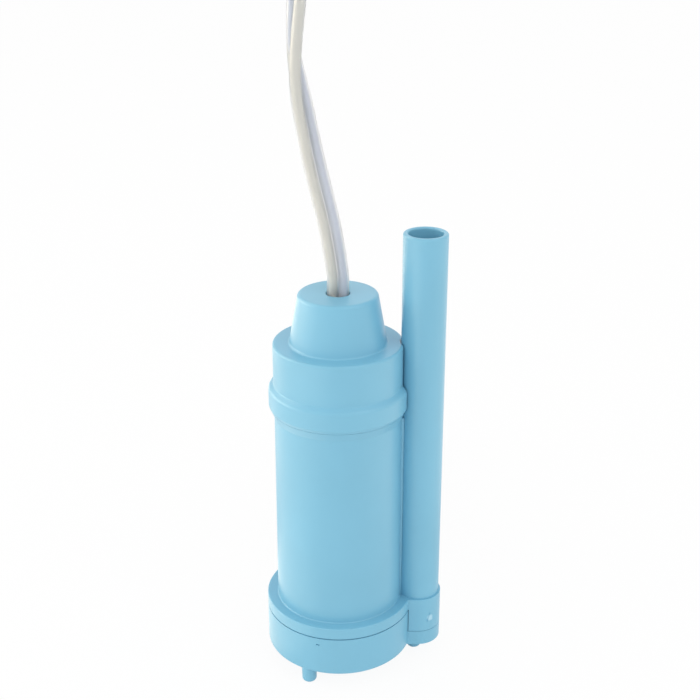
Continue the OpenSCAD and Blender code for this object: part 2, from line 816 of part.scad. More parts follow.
// Springs that push the magnets apart
module magnet_clips() {
    clip_t = 0.5;
    clip_h = magnet_h / 2;
    clip_z = seat_z + can_wall + (magnet_h - clip_h) / 2;
    end_gap = 0.6;
    color(steel)
        at_motor()
            for_sides()
                arc_piece(can_bore_r - fit_gap, can_bore_r - fit_gap - clip_t, clip_z, clip_h,
                    180 - magnet_angle - end_gap);
}

module front_bearing() {
    color(brass)
        at_motor()
            tube(bearing_r, shaft_r + run_gap, boss_z, bearing_h);
}

module rear_bearing() {
    color(brass)
        at_motor()
            tube(bearing_r, shaft_r + run_gap, bearing_z, bearing_h);
}

module carbon_brushes() {
    color(black)
        at_motor()
            for_sides()
                translate([brush_x, -brush_w / 2, brush_z])
                    cube([brush_w, brush_w, brush_w]);
}

module brush_arms() {
    color(brass)
        at_motor()
            for_sides()
                translate([arm_x, -brush_w / 2, brush_z])
                    cube([arm_t, brush_w, bell_z - brush_z]);
}

module motor_terminals() {
    color(brass)
        at_motor()
            for_sides()
                translate([arm_x, -brush_w / 2, bell_z])
                    cube([arm_t, brush_w, terminal_z - bell_z]);
}

// Disc capacitor on its wire between the terminals
module suppressor_capacitor() {
    disc_d = 5.2;
    disc_w = 2.4;
    wire_d = 0.6;
    wire_z = can_z + boss_h + disc_d / 2 + turn_gap;
    color(copper)
        at_motor()
            translate([0, 0, wire_z]) {
                rotate([0, 90, 0])
                    cylinder(d = wire_d, h = 2 * (arm_x - fit_gap), center = true, $fn = 24);
                rotate([90, 0, 0])
                    cylinder(d = disc_d, h = disc_w, center = true);
            }
}

module motor_screws() {
    color(steel)
        at_motor()
            for_screws() {
                rod(screw_head_d / 2, part_z - screw_head_h, screw_head_h);
                rod(screw_d / 2, part_z - screw_head_h / 2, screw_head_h / 2 + bulkhead_t + can_wall);
            }
}

module motor_cushion() {
    cushion_r = bore_r - fit_gap;
    color(black)
        at_motor()
            tube(cushion_r, cushion_r - cushion_wall, can_z + fit_gap, plug_z - can_z - 2 * fit_gap);
}

// Seal of the shaft where it enters the pump chamber
module shaft_seal() {
    color(black)
        at_motor()
            tube(seal_r, shaft_r + run_gap, part_z - seal_h, seal_h - fit_gap);
}

module seal_retainer() {
    color(steel)
        at_motor()
            tube(seal_r, shaft_r + turn_gap, hub_z, retainer_h - fit_gap);
}

// Rotor
module motor_shaft() {
    shaft_z = impeller_z + disc_t;
    color(steel)
        at_motor()
            rod(shaft_r, shaft_z, bearing_z + bearing_h + turn_gap - shaft_z);
}

module pole_outline() {
    half_angle = 180 / pole_count - shoe_gap / 2;
    reach = 2 * core_r;
    translate([core_hub_d / 3, -neck_w / 2])
        square([core_r - shoe_t / 2 - core_hub_d / 3, neck_w]);
    intersection() {
        difference() {
            circle(r = core_r);
            circle(r = core_r - shoe_t);
        }
        polygon([[0, 0], reach * [cos(half_angle), -sin(half_angle)],
            reach * [cos(half_angle), sin(half_angle)]]);
    }
}

module armature_core() {
    color(steel)
        at_motor()
            translate([0, 0, core_z])
                linear_extrude(core_h)
                    difference() {
                        union() {
                            circle(d = core_hub_d);
                            for (i = [0 : pole_count - 1])
                                rotate(i * 360 / pole_count)
                                    pole_outline();
                        }
                        circle(r = shaft_r + run_gap);
                    }
}

module armature_windings() {
    start = core_hub_d / 2 + winding_gap;
    half_w = start * tan(180 / pole_count) - winding_gap;
    stop = sqrt(pow(core_r - shoe_t - winding_gap, 2) - pow(half_w, 2));
    wound_h = core_h + 2 * winding_over;
    color(copper)
        at_motor()
            for (i = [0 : pole_count - 1])
                rotate([0, 0, i * 360 / pole_count])
                    difference() {
                        translate([start, -half_w, core_z - winding_over])
                            cube([stop - start, 2 * half_w, wound_h]);
                        translate([start - eps, -neck_w / 2 - fit_gap, core_z - fit_gap])
                            cube([stop, neck_w + 2 * fit_gap, core_h + 2 * fit_gap]);
                    }
}

module commutator() {
    slit_w = 0.4;
    slit_d = 0.8;
    color(copper)
        at_motor()
            difference() {
                tube(commutator_r, shaft_r + run_gap, commutator_z, commutator_h);
                for (i = [0 : pole_count - 1])
                    rotate([0, 0, (i + 0.5) * 360 / pole_count])
                        translate([commutator_r - slit_d, -slit_w / 2, commutator_z - eps])
                            cube([slit_d + eps, slit_w, commutator_h + 2 * eps]);
            }
}

module thrust_washers() {
    washer_rim = 1.3;
    washer_r = shaft_r + washer_rim;
    color(white)
        at_motor() {
            tube(washer_r, shaft_r + run_gap, boss_z + bearing_h + turn_gap / 2, washer_h);
            tube(washer_r, shaft_r + run_gap, bell_z - turn_gap / 2 - washer_h, washer_h);
        }
}

// Impeller: disc with curved vanes under it, blind on the shaft's end
module impeller() {
    hub = impeller_hub_d / 2;
    disc_z = impeller_top - disc_t;
    vane_turn = 125;
    vane_sweep = 110;
    color(white)
        at_motor()
            difference() {
                union() {
                    rod(impeller_r, disc_z, disc_t);
                    rod(hub, impeller_z, impeller_h);
                    intersection() {
                        rod(impeller_r, impeller_z, impeller_h);
                        for (i = [0 : vane_count - 1])
                            rotate([0, 0, i * 360 / vane_count])
                                translate([vane_curve, 0, 0])
                                    rotate([0, 0, vane_turn])
                                        arc_piece(vane_curve + vane_t / 2, vane_curve - vane_t / 2,
                                            impeller_z, vane_h + disc_t / 2, vane_sweep);
                    }
                }
                rod(shaft_r + run_gap, impeller_z + disc_t - run_gap, impeller_h);
            }
}

// Flex outside the pump
module cable_run() {
    last = len(route) - 1;
    rings = [for (i = [0 : last])
        let (along = direction(route, i, [0, 0, 1], [0, 1, 0]))
        ring(route[i], flex_across(along, lookup(i, twist_table)), along, flex_section)];
    color(white)
        swept(rings, route[0], route[last]);
}

module cable_hank() {
    rings = [for (i = [0 : hank_count])
        let (along = direction(hank_line, i, [0, 1, 0], [0, 1, 0]))
        ring(hank_line[i], square_to([0, 0, 1], along), along, loop_section)];
    echo(least_gap_between_loops = hank_gap);
    echo(flex_length = sum_steps(route, len(route) - 1) + sum_steps(hank_line, hank_count));
    color(white)
        swept(rings, hank_line[0], hank_line[hank_count]);
}

// Band round both runs at the hank's waist
module rounded_box(w, h, r) {
    for (x = [r, w - r])
        for (y = [r, h - r])
            translate([x, y])
                circle(r = r, $fn = 48);
    translate([r, 0])
        square([w - 2 * r, h]);
    translate([0, r])
        square([w, h - 2 * r]);
}

module hank_tie() {
    half_w = loop_r(hank_loops / 2) - waist_in + cord_t / 2 + tie_gap;
    inner_h = layer_high + cord_w / 2 + tie_gap - tie_low - tie_t;
    corner_r = cord_t / 2;
    color(black)
        translate([hank_x - half_w - tie_t, hank_y + tie_w / 2, tie_low])
            rotate([90, 0, 0])
                linear_extrude(tie_w)
                    difference() {
                        rounded_box(2 * (half_w + tie_t), inner_h + 2 * tie_t, corner_r + tie_t);
                        translate([tie_t, tie_t])
                            rounded_box(2 * half_w, inner_h, corner_r);
                    }
}

module for_leads() {
    for (side = [-1, 1])
        translate(hank_line[hank_count] + [0, 0, side * core_offset])
            rotate([-90, 0, 0])
                children();
}

module lead_ends() {
    color(white)
        for_leads()
            cylinder(d = cord_t - fit_gap, h = lead_l, $fn = 32);
}

module lead_tips() {
    color(steel)
        for_leads()
            translate([0, 0, lead_l])
                cylinder(d = tip_d, h = tip_l, $fn = 24);
}

motor_housing();
top_cap();
base_cover();
riser_pipe();
cap_seal();
cable_grommet();
cable_clamp();
cable_tail();
inner_leads();
motor_can();
motor_end_bell();
field_magnets();
magnet_clips();
front_bearing();
rear_bearing();
carbon_brushes();
brush_arms();
motor_terminals();
suppressor_capacitor();
motor_screws();
motor_cushion();
shaft_seal();
seal_retainer();
motor_shaft();
armature_core();
armature_windings();
commutator();
thrust_washers();
impeller();
cable_run();
cable_hank();
hank_tie();
lead_ends();
lead_tips();
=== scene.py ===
# Looks of a submersible water pump: moulded plastic shells, a clear twin flex and a plain pale set.
# Metres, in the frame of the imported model: +Z up, +X from the motor's axis to the riser pipe.
import math

import bmesh
import bpy
from mathutils import Euler, Matrix, Vector


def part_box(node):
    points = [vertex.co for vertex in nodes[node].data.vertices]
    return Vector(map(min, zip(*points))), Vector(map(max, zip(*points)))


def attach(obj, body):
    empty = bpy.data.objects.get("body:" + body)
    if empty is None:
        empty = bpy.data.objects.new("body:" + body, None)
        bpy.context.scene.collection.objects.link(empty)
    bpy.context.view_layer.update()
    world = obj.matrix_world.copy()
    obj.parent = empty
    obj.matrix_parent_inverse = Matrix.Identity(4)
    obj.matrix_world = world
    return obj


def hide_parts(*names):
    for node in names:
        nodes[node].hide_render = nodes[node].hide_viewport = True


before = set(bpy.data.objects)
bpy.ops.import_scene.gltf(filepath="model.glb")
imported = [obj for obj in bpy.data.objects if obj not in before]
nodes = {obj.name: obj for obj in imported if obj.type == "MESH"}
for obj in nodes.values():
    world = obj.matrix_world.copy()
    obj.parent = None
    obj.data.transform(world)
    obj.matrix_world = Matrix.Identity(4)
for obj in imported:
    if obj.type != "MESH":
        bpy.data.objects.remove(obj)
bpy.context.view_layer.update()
MM = 0.001
BODY = "pump_body"

# Camera: place and lens fitted to the photograph's outlines
CAMERA_PLACE = Vector((2.02, -270.31, 199.71)) * MM
CAMERA_FORWARD = Vector((-0.01025, 0.92238, -0.38616)).normalized()
CAMERA_RIGHT = Vector((0.99994, 0.01047, -0.00154))
SENSOR_MM = 36.0
FOCAL_PX = 1201.02
IMAGE_PX = 700
CLIP_NEAR = 0.01
CLIP_FAR = 50.0


def make_camera():
    right = (CAMERA_RIGHT - CAMERA_RIGHT.dot(CAMERA_FORWARD) * CAMERA_FORWARD).normalized()
    up = right.cross(CAMERA_FORWARD)
    data = bpy.data.cameras.new("camera")
    data.sensor_fit = "HORIZONTAL"
    data.sensor_width = SENSOR_MM
    data.lens = SENSOR_MM * FOCAL_PX / IMAGE_PX
    data.clip_start = CLIP_NEAR
    data.clip_end = CLIP_FAR
    camera = bpy.data.objects.new("camera", data)
    turn = Matrix((right, up, -CAMERA_FORWARD)).transposed().to_4x4()
    camera.matrix_world = Matrix.Translation(CAMERA_PLACE) @ turn
    bpy.context.scene.collection.objects.link(camera)
    bpy.context.scene.camera = camera


make_camera()

# Flex: two round cores side by side, joined by a web
FLEX_WIDTH = 5.4 * MM
FLEX_THICKNESS = 2.7 * MM
CORE_OFFSET = (FLEX_WIDTH - FLEX_THICKNESS) / 2
CORE_RADIUS = FLEX_THICKNESS / 2
CORE_STEPS = 13
# Half of the web's thickness, as a share of a core's radius
WEB_SHARE = 0.42
CONDUCTOR_OFFSET = 1.12 * MM
CONDUCTOR_RADIUS = 0.83 * MM
CONDUCTOR_SIDES = 14
# Last rings of the flex, over which the conductors move out to the middles of the split cores
SPREAD_RINGS = 6

# Route as in the model: from the cap's hole over and down behind the pump to a tied hank
motor_low, motor_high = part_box("motor_can")
MOTOR_X = (motor_low.x + motor_high.x) / 2
CAP_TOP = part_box("top_cap")[1].z
TAIL_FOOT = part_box("cable_tail")[0].z
HOLE = Vector((MOTOR_X, 0, CAP_TOP))
ROUTE_STEPS = 6
# Points up and over, measured from the hole
RISE_POINTS_MM = [
    (0, 0, 0), (0, 0, 4), (-0.6, 0, 9), (-1.85, 0, 16.5), (-3.65, 0, 24.5), (-5.4, 0, 32.3),
    (-6.8, 0, 39.5), (-8.05, 0, 46.5), (-8.95, 0, 53), (-9.25, 0, 59), (-8.8, 0, 66),
    (-8, 1.5, 76), (-7.35, 7, 84.5), (-7.15, 16, 90), (-7.45, 26, 91.5), (-8.35, 36, 88.5),
    (-9.45, 44, 81), (-10.45, 47.5, 72), (-11.35, 48, 62), (-12.55, 47.8, 51.5), (-11.75, 47.8, 41),
    (-10.05, 47.8, 31.5), (-7.85, 47.8, 21), (-5.25, 48, 10), (-3.05, 48, 0), (-1.55, 48, -10),
    (-0.85, 48, -20.5)]
# Points down to the hank, measured from the hank's start
DROP_POINTS_MM = [
    (2.7, -30, 60.4), (2.6, -30.2, 49.4), (2.4, -30.4, 38.9), (2.1, -30.4, 29.4), (1.7, -29.4, 20.4),
    (1.2, -25.4, 11.7), (0.6, -18.7, 5), (0.2, -10, 0.9), (0, 0, 0)]
# Twist of the flex about its own line: how many points past the hole, and degrees
TWIST_AT = [
    (0, 0), (3, 12), (5, 22), (6, 30), (7, 45), (8, 80), (9, 112), (10, 127), (11, 145), (13, 190),
    (15, 235), (17, 270)]

# Hank: loops of flex on edge in two layers, drawn in at the waist
HANK_X = 1.0 * MM
HANK_Y = 78.0 * MM
HANK_RUN = 52.0 * MM
HANK_LOOPS = 3
RINGS_PER_LOOP = 96
FOLD_RADIUS = 16.2 * MM
WAIST_IN = 8.0 * MM
LOOP_GAP = 0.6 * MM
WAIST_STEP = 0.4 * MM
HANK_STEP = FLEX_THICKNESS + LOOP_GAP + WAIST_STEP
CLIMB_RATE = 6
LAYER_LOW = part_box("cable_hank")[0].z + FLEX_WIDTH / 2
LAYER_HIGH = LAYER_LOW + FLEX_WIDTH + LOOP_GAP

# Free end: two split cores, then strands wound round a middle one
lead_low, lead_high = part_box("lead_ends")
tip_low, tip_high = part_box("lead_tips")
LEAD_LENGTH = lead_high.y - lead_low.y
LEAD_RADIUS = (lead_high.x - lead_low.x) / 2
LEAD_STEPS = 8
LEAD_SIDES = 20
# Sizes of the last rings of a lead's sheath, where its cut end rounds in
LEAD_END_SIZES = [0.97, 0.86]
TIP_LENGTH = tip_high.y - tip_low.y
STRANDS_ROUND = 6
STRANDS_ACROSS = 3
STRAND_RADIUS = (tip_high.x - tip_low.x) / (2 * STRANDS_ACROSS)
STRAND_LAY = 9.0 * MM
STRAND_STEPS = 24
STRAND_SIDES = 8

# Tie round the hank's waist
TIE_WIDTH = 5.0 * MM
TIE_THICKNESS = 0.5 * MM
TIE_EDGE_CUT = TIE_THICKNESS / 4
TIE_TURN_STEPS = 10
LOCK_SIDE = 6.2 * MM
LOCK_HEIGHT = 4.0 * MM
LOCK_RIM = LOCK_SIDE / 5
LOCK_RECESS = LOCK_HEIGHT / 4
LOCK_BEVEL = LOCK_SIDE / 14
# Points of the tie's tail, measured from the lock's middle
TIE_TAIL_POINTS_MM = [(1, 0, 0.6), (4, 0, 0.8), (7, 0, 1.6), (10, 0, 3.1), (12.5, 0, 5.1)]
TIE_TAIL_STEPS = 4
TIE_TAIL_HALF_WIDTH = TIE_WIDTH * 0.44
TIE_TAIL_HALF_THICKNESS = TIE_THICKNESS * 0.8

# Wires inside the cap
WIRE_STEPS = 24
WIRE_SIDES = 16


def eased(t):
    """A smooth step from 0 to 1."""
    t = min(1, max(0, t))
    return t * t * (3 - 2 * t)


def hank_point(s):
    """The hank's line, s loops from its start at the waist of the inner left run.

    A loop is half the left run, the far fold, the right run, the near fold and the other half.
    """
    radius = FOLD_RADIUS + HANK_STEP * min(s, HANK_LOOPS - s)
    climb = eased((s - HANK_LOOPS / 2) * CLIMB_RATE + 1 / 2)
    z = LAYER_HIGH - (LAYER_HIGH - LAYER_LOW) * climb
    part = s - math.floor(s)
    if 1 / 8 < part < 3 / 8 or 5 / 8 < part < 7 / 8:
        far = part < 1 / 2
        turned = (part - (1 / 8 if far else 5 / 8)) * 4
        angle = math.pi * (1 - turned if far else -turned)
        end = HANK_RUN / 2 if far else -HANK_RUN / 2
        return Vector((HANK_X + radius * math.cos(angle), HANK_Y + end + radius * math.sin(angle), z))
    left = part <= 1 / 8 or part >= 7 / 8
    along = (part - round(part) if left else 1 / 2 - part) * 4 * HANK_RUN
    drawn = WAIST_IN * eased((HANK_RUN / 2 - abs(along)) / (HANK_RUN / 2 - TIE_WIDTH / 2))
    across = radius - drawn
    return Vector((HANK_X - across if left else HANK_X + across, HANK_Y + along, z))


def smooth(points, steps):
    """A curve through the points, with that many steps between each two."""
    ends = [points[0] * 2 - points[1], *points, points[-1] * 2 - points[-2]]
    line = []
    for a, b, c, d in zip(ends, ends[1:], ends[2:], ends[3:]):
        square = 2 * a - 5 * b + 4 * c - d
        cube = 3 * b - a - 3 * c + d
        for i in range(steps):
            t = i / steps
            line.append(b + ((c - a) * t + square * t**2 + cube * t**3) / 2)
    line.append(points[-1])
    return line


def between(table, at):
    """The value at a place in a table of (place, value), in a straight line between its rows."""
    for (a, low), (b, high) in zip(table, table[1:]):
        if at <= b:
            return low + (high - low) * (at - a) / (b - a)
    return table[-1][1]


def tangents(line, closed=False):
    """The direction of the line at each of its points."""
    last = len(line) - 1
    if closed:
        return [(line[(i + 1) % len(line)] - line[i - 1]).normalized() for i in range(last + 1)]
    return [(line[min(i + 1, last)] - line[max(i - 1, 0)]).normalized() for i in range(last + 1)]


def square_to(v, along):
    """The direction of v with what lies along the other direction taken away."""
    return (v - v.dot(along) * along).normalized()


def flex_path():
    """The flex's centre line and, at each point, the direction from its left core to its right one."""
    hank = [hank_point(i / RINGS_PER_LOOP) for i in range(HANK_LOOPS * RINGS_PER_LOOP + 1)]
    rise = [HOLE + Vector(p) * MM for p in RISE_POINTS_MM]
    drop = [hank[0] + Vector(p) * MM for p in DROP_POINTS_MM]
    tail = [Vector((MOTOR_X, 0, TAIL_FOOT))]
    route = smooth(tail + rise + drop, ROUTE_STEPS)
    line = route + hank[1:]
    across = []
    for i, way in enumerate(tangents(line)):
        if i < len(route):
            angle = math.radians(between(TWIST_AT, max(0, i / ROUTE_STEPS - len(tail))))
            x = square_to(Vector((1, 0, 0)), way)
            across.append(x * math.cos(angle) + way.cross(x) * math.sin(angle))
        else:
            across.append(square_to(Vector((0, 0, 1)), way))
    return line, across


def link_mesh(name, build, material, smooth_faces=True):
    """A new object in the scene from what was built, with its faces turned outward."""
    mesh = bpy.data.meshes.new(name)
    build.normal_update()
    bmesh.ops.recalc_face_normals(build, faces=build.faces)
    for face in build.faces:
        face.smooth = smooth_faces
    build.to_mesh(mesh)
    build.free()
    obj = bpy.data.objects.new(name, mesh)
    obj.data.materials.append(material)
    bpy.context.scene.collection.objects.link(obj)
    return obj


def sweep_into(build, line, across, section, closed=False, sizes=None):
    """Adds a tube to build: the section, in (across, other) pairs, at each point of the line.

    Its own coordinates are the share of a turn round the section and the metres along the line.
    """
    uv = build.loops.layers.uv.verify()
    rings = []
    run = 0.0
    runs = []
    for i, (at, side, way) in enumerate(zip(line, across, tangents(line, closed))):
        run += (at - line[i - 1]).length if i else 0.0
        runs.append(run)
        other = way.cross(side)
        size = sizes[i] if sizes else 1.0
        rings.append([build.verts.new(at + (side * a + other * b) * size) for a, b in section])
    if closed:
        rings.append(rings[0])
        runs.append(run + (line[0] - line[-1]).length)
    count = len(section)
    for i in range(len(rings) - 1):
        for j in range(count):
            k = (j + 1) % count
            face = build.faces.new((rings[i][j], rings[i][k], rings[i + 1][k], rings[i + 1][j]))
            spots = ((j, i), (j + 1, i), (j + 1, i + 1), (j, i + 1))
            for loop, (turn, step) in zip(face.loops, spots):
                loop[uv].uv = (turn / count, runs[step])
    if not closed:
        build.faces.new(rings[0])
        build.faces.new(rings[-1])


def circle(radius, count):
    """Outline of a round section with that many sides."""
    turns = [2 * math.pi * i / count for i in range(count)]
    return [(radius * math.cos(t), radius * math.sin(t)) for t in turns]


def flex_section():
    """Outline of the flat twin: two round cores joined by a web in the valley between them."""
    web = math.asin(WEB_SHARE)
    span = 2 * (math.pi - web)
    turns = [-(math.pi - web) + span * i / CORE_STEPS for i in range(CORE_STEPS + 1)]
    right = [(CORE_OFFSET + CORE_RADIUS * math.cos(t), CORE_RADIUS * math.sin(t)) for t in turns]
    return right + [(-x, -y) for x, y in right]


def bevelled(half_w, half_h, cut):
    """Outline of a flat strip with its corners cut."""
    corner = [(half_w - cut, half_h), (half_w, half_h - cut)]
    right = [(x, -y) for x, y in reversed(corner)]
    return [*corner, *right, *[(-x, -y) for x, y in corner], *[(-x, -y) for x, y in right]]


# Materials
def linear(red, green, blue):
    """A colour as it is seen, in bytes, as the shader's linear values."""
    seen = [v / 255 for v in (red, green, blue)]
    return (*[v / 12.92 if v <= 0.04045 else ((v + 0.055) / 1.055) ** 2.4 for v in seen], 1.0)


def add_node(tree, kind, inputs=None, **settings):
    """A shader node with its settings, and its inputs set to values or linked to sockets."""
    made = tree.nodes.new("ShaderNode" + kind)
    for key, value in settings.items():
        setattr(made, key, value)
    for key, value in (inputs or {}).items():
        if isinstance(value, bpy.types.NodeSocket):
            tree.links.new(value, made.inputs[key])
        else:
            made.inputs[key].default_value = value
    return made


class Shader:
    """A material with a Principled shader and short calls for the nodes that drive it."""

    def __init__(self, name, **values):
        self.material = bpy.data.materials.new(name)
        self.material.use_nodes = True
        self.tree = self.material.node_tree
        self.main = self.tree.nodes["Principled BSDF"]
        for key, value in values.items():
            self.main.inputs[key.replace("_", " ")].default_value = value

    def node(self, kind, inputs=None, **settings):
        return add_node(self.tree, kind, inputs, **settings)

    def place(self):
        return self.node("TexCoord").outputs["Object"]

    def strip_place(self):
        """A swept piece's own coordinates, as X round it and Y along it."""
        return self.node("SeparateXYZ", {"Vector": self.node("TexCoord").outputs["UV"]}).outputs

    def math(self, operation, *values):
        return self.node("Math", dict(enumerate(values)), operation=operation).outputs[0]

    def noise(self, scale, detail, place=None):
        inputs = {"Vector": place or self.place(), "Scale": scale, "Detail": detail}
        return self.node("TexNoise", inputs).outputs["Fac"]

    def ranged(self, value, low, high, start=0.0, end=1.0):
        """A value between start and end, brought to the range from low to high and clipped to it."""
        inputs = {"Value": value, "From Min": start, "From Max": end, "To Min": low, "To Max": high}
        return self.node("MapRange", inputs).outputs["Result"]

    def shades(self, value, colour, stops):
        """Shades of one colour over a value; each stop is a value and a share of the colour."""
        made = self.node("ValToRGB", {"Fac": value})
        points = made.color_ramp.elements
        while len(points) < len(stops):
            points.new(1.0)
        for point, (at, share) in zip(points, stops):
            point.position = at
            point.color = (*[v * share for v in colour[:3]], 1.0)
        return made.outputs["Color"]

    def bump(self, height, strength, depth, normal=None):
        inputs = {"Height": height, "Strength": strength, "Distance": depth}
        if normal:
            inputs["Normal"] = normal
        return self.node("Bump", inputs).outputs["Normal"]

    def feed(self, **sockets):
        for key, value in sockets.items():
            self.tree.links.new(value, self.main.inputs[key.replace("_", " ")])
        return self.material


# Moulded plastic: scales are features per metre
CLOUD_SCALE, CLOUD_DETAIL = 45.0, 3.0
CLOUD_STOPS = [(0.3, 0.97), (0.5, 1.0), (0.7, 1.03)]
GLOSS_SCALE, GLOSS_DETAIL = 160.0, 4.0
GLOSS_REACH = 0.04
WAVE_SCALE, WAVE_DETAIL = 28.0, 1.0
WAVE_STRENGTH, WAVE_DEPTH = 0.12, 0.4 * MM
SATIN_SCALE, SATIN_DETAIL = 2200.0, 2.0
SATIN_STRENGTH, SATIN_DEPTH = 0.1, 0.02 * MM


def moulded(name, colour, roughness, painted_glint=None):
    """Moulded plastic: faint clouding of its colour, a fine satin grain and slight waves.

    painted_glint is a painted highlight, a pale spot in place of a glint: its middle, how far it
    reaches and its colour.
    """
    shader = Shader(name)
    tint = shader.shades(shader.noise(CLOUD_SCALE, CLOUD_DETAIL), colour, CLOUD_STOPS)
    # Painted highlight: a pale spot mixed into the colour where the raised mark would catch the light
    if painted_glint:
        middle, reach, glint_colour = painted_glint
        away = shader.node("VectorMath", {0: shader.place(), 1: middle}, operation="DISTANCE")
        share = shader.ranged(away.outputs["Value"], 1.0, 0.0, reach / 2, reach)
        # The mix's colour sockets share their names with others: inputs 6 and 7, and output 2
        tint = shader.node("Mix", {0: share, 6: tint, 7: glint_colour}, data_type="RGBA").outputs[2]
    gloss = shader.noise(GLOSS_SCALE, GLOSS_DETAIL)
    dull = shader.ranged(gloss, roughness - GLOSS_REACH, roughness + GLOSS_REACH)
    waves = shader.bump(shader.noise(WAVE_SCALE, WAVE_DETAIL), WAVE_STRENGTH, WAVE_DEPTH)
    satin = shader.noise(SATIN_SCALE, SATIN_DETAIL)
    normal = shader.bump(satin, SATIN_STRENGTH, SATIN_DEPTH, waves)
    return shader.feed(Base_Color=tint, Roughness=dull, Normal=normal)


# Metal: how much finer its streaks are along X, Y and Z
FINE_ALONG_Y = (1.0, 30.0, 1.0)
FINE_ALONG_Z = (1.0, 1.0, 30.0)
EVEN = (1.0, 1.0, 1.0)
STREAK_SCALE, STREAK_DETAIL = 420.0, 3.0
STREAK_STOPS = [(0.35, 0.88), (0.65, 1.0)]
STREAK_GLOSS_REACH = 0.08
STREAK_STRENGTH, STREAK_DEPTH = 0.15, 0.02 * MM


def metal(name, colour, roughness, stretch=FINE_ALONG_Z):
    """Drawn, turned or sintered metal: streaks or specks in its tint and gloss, and a slight grain."""
    shader = Shader(name, Metallic=1.0)
    moved = shader.node("Mapping", {"Vector": shader.place(), "Scale": stretch}).outputs["Vector"]
    streak = shader.noise(STREAK_SCALE, STREAK_DETAIL, moved)
    tint = shader.shades(streak, colour, STREAK_STOPS)
    dull = shader.ranged(streak, roughness - STREAK_GLOSS_REACH, roughness + STREAK_GLOSS_REACH)
    normal = shader.bump(streak, STREAK_STRENGTH, STREAK_DEPTH)
    return shader.feed(Base_Color=tint, Roughness=dull, Normal=normal)


# Matt materials
SPECKLE_DETAIL = 4.0
SPECKLE_STOPS = [(0.3, 0.8), (0.7, 1.0)]
SPECKLE_GLOSS_REACH = 0.05
SPECKLE_STRENGTH = 0.3


def matt(name, colour, roughness, scale, depth):
    """Rubber, ferrite, carbon and dipped ceramic: a matt speckled surface."""
    shader = Shader(name)
    speckle = shader.noise(scale, SPECKLE_DETAIL)
    tint = shader.shades(speckle, colour, SPECKLE_STOPS)
    dull = shader.ranged(speckle, roughness - SPECKLE_GLOSS_REACH, roughness + SPECKLE_GLOSS_REACH)
    normal = shader.bump(speckle, SPECKLE_STRENGTH, depth)
    return shader.feed(Base_Color=tint, Roughness=dull, Normal=normal)


# Clear vinyl of the flex
VINYL_IOR = 1.42
VINYL_CLEAR_SHARE = 0.8
HAZE_SCALE, HAZE_DETAIL = 300.0, 3.0
# Haze, as roughness: a range across about 0.27 would show as sharp-edged patches once denoised,
# so all of it lies above that
HAZE_LOW, HAZE_HIGH = 0.28, 0.31
RIPPLE_SCALE, RIPPLE_DETAIL = 220.0, 2.0
RIPPLE_STRENGTH, RIPPLE_DEPTH = 0.12, 0.04 * MM


def clear_vinyl(name, colour):
    """Clear soft vinyl with a faint haze."""
    shader = Shader(name, Base_Color=colour, IOR=VINYL_IOR, Transmission_Weight=VINYL_CLEAR_SHARE)
    dull = shader.ranged(shader.noise(HAZE_SCALE, HAZE_DETAIL), HAZE_LOW, HAZE_HIGH)
    ripple = shader.noise(RIPPLE_SCALE, RIPPLE_DETAIL)
    return shader.feed(Roughness=dull, Normal=shader.bump(ripple, RIPPLE_STRENGTH, RIPPLE_DEPTH))


# Nylon of the tie
NYLON_SCALE, NYLON_DETAIL = 140.0, 3.0
NYLON_STOPS = [(0.3, 0.85), (0.7, 1.0)]
NYLON_ROUGHNESS = 0.42
RIB_PITCH = 1.0 * MM
RIB_STRENGTH, RIB_DEPTH = 0.25, 0.08 * MM


def ribbed(name, colour):
    """Nylon strip with fine ribs across it, from the strip's own coordinates."""
    shader = Shader(name, Roughness=NYLON_ROUGHNESS)
    turn = shader.math("MULTIPLY", shader.strip_place()["Y"], 2 * math.pi / RIB_PITCH)
    wave = shader.math("SINE", turn)
    tint = shader.shades(shader.noise(NYLON_SCALE, NYLON_DETAIL), colour, NYLON_STOPS)
    return shader.feed(Base_Color=tint, Normal=shader.bump(wave, RIB_STRENGTH, RIB_DEPTH))


# Wire of the flex: strips round the conductor, and how far one runs in a full turn
STRIPS = 12
STRIP_LAY = 34.0 * MM
STRIP_METAL_SHARE = 0.15
STRIP_TOP = 0.5
# Painted shade: the colour darkens into the grooves between the strips
STRIP_GROOVE_SHADE_STOPS = [(0.0, 0.78), (0.25, 1.0)]
# Roughness at a height of 0 and of 1
STRIP_ROUGHNESS = (0.55, 0.4)
STRIP_STRENGTH, STRIP_DEPTH = 0.3, 0.06 * MM


def strands(name, colour):
    """Stranded wire: strips that wind round the conductor, from the tube's own coordinates, with
    painted shade in the grooves between them.
    """
    shader = Shader(name, Metallic=STRIP_METAL_SHARE)
    spot = shader.strip_place()
    around = shader.math("MULTIPLY", spot["X"], float(STRIPS))
    along = shader.math("MULTIPLY", spot["Y"], STRIPS / STRIP_LAY)
    turn = shader.math("MULTIPLY", shader.math("ADD", around, along), 2 * math.pi)
    # The upper half of each wave is clipped, which leaves flat strips with grooves between them
    height = shader.ranged(shader.math("ADD", shader.math("SINE", turn), 1.0), 0.0, STRIP_TOP)
    tint = shader.shades(height, colour, STRIP_GROOVE_SHADE_STOPS)
    dull = shader.ranged(height, *STRIP_ROUGHNESS)
    normal = shader.bump(height, STRIP_STRENGTH, STRIP_DEPTH)
    return shader.feed(Base_Color=tint, Roughness=dull, Normal=normal)


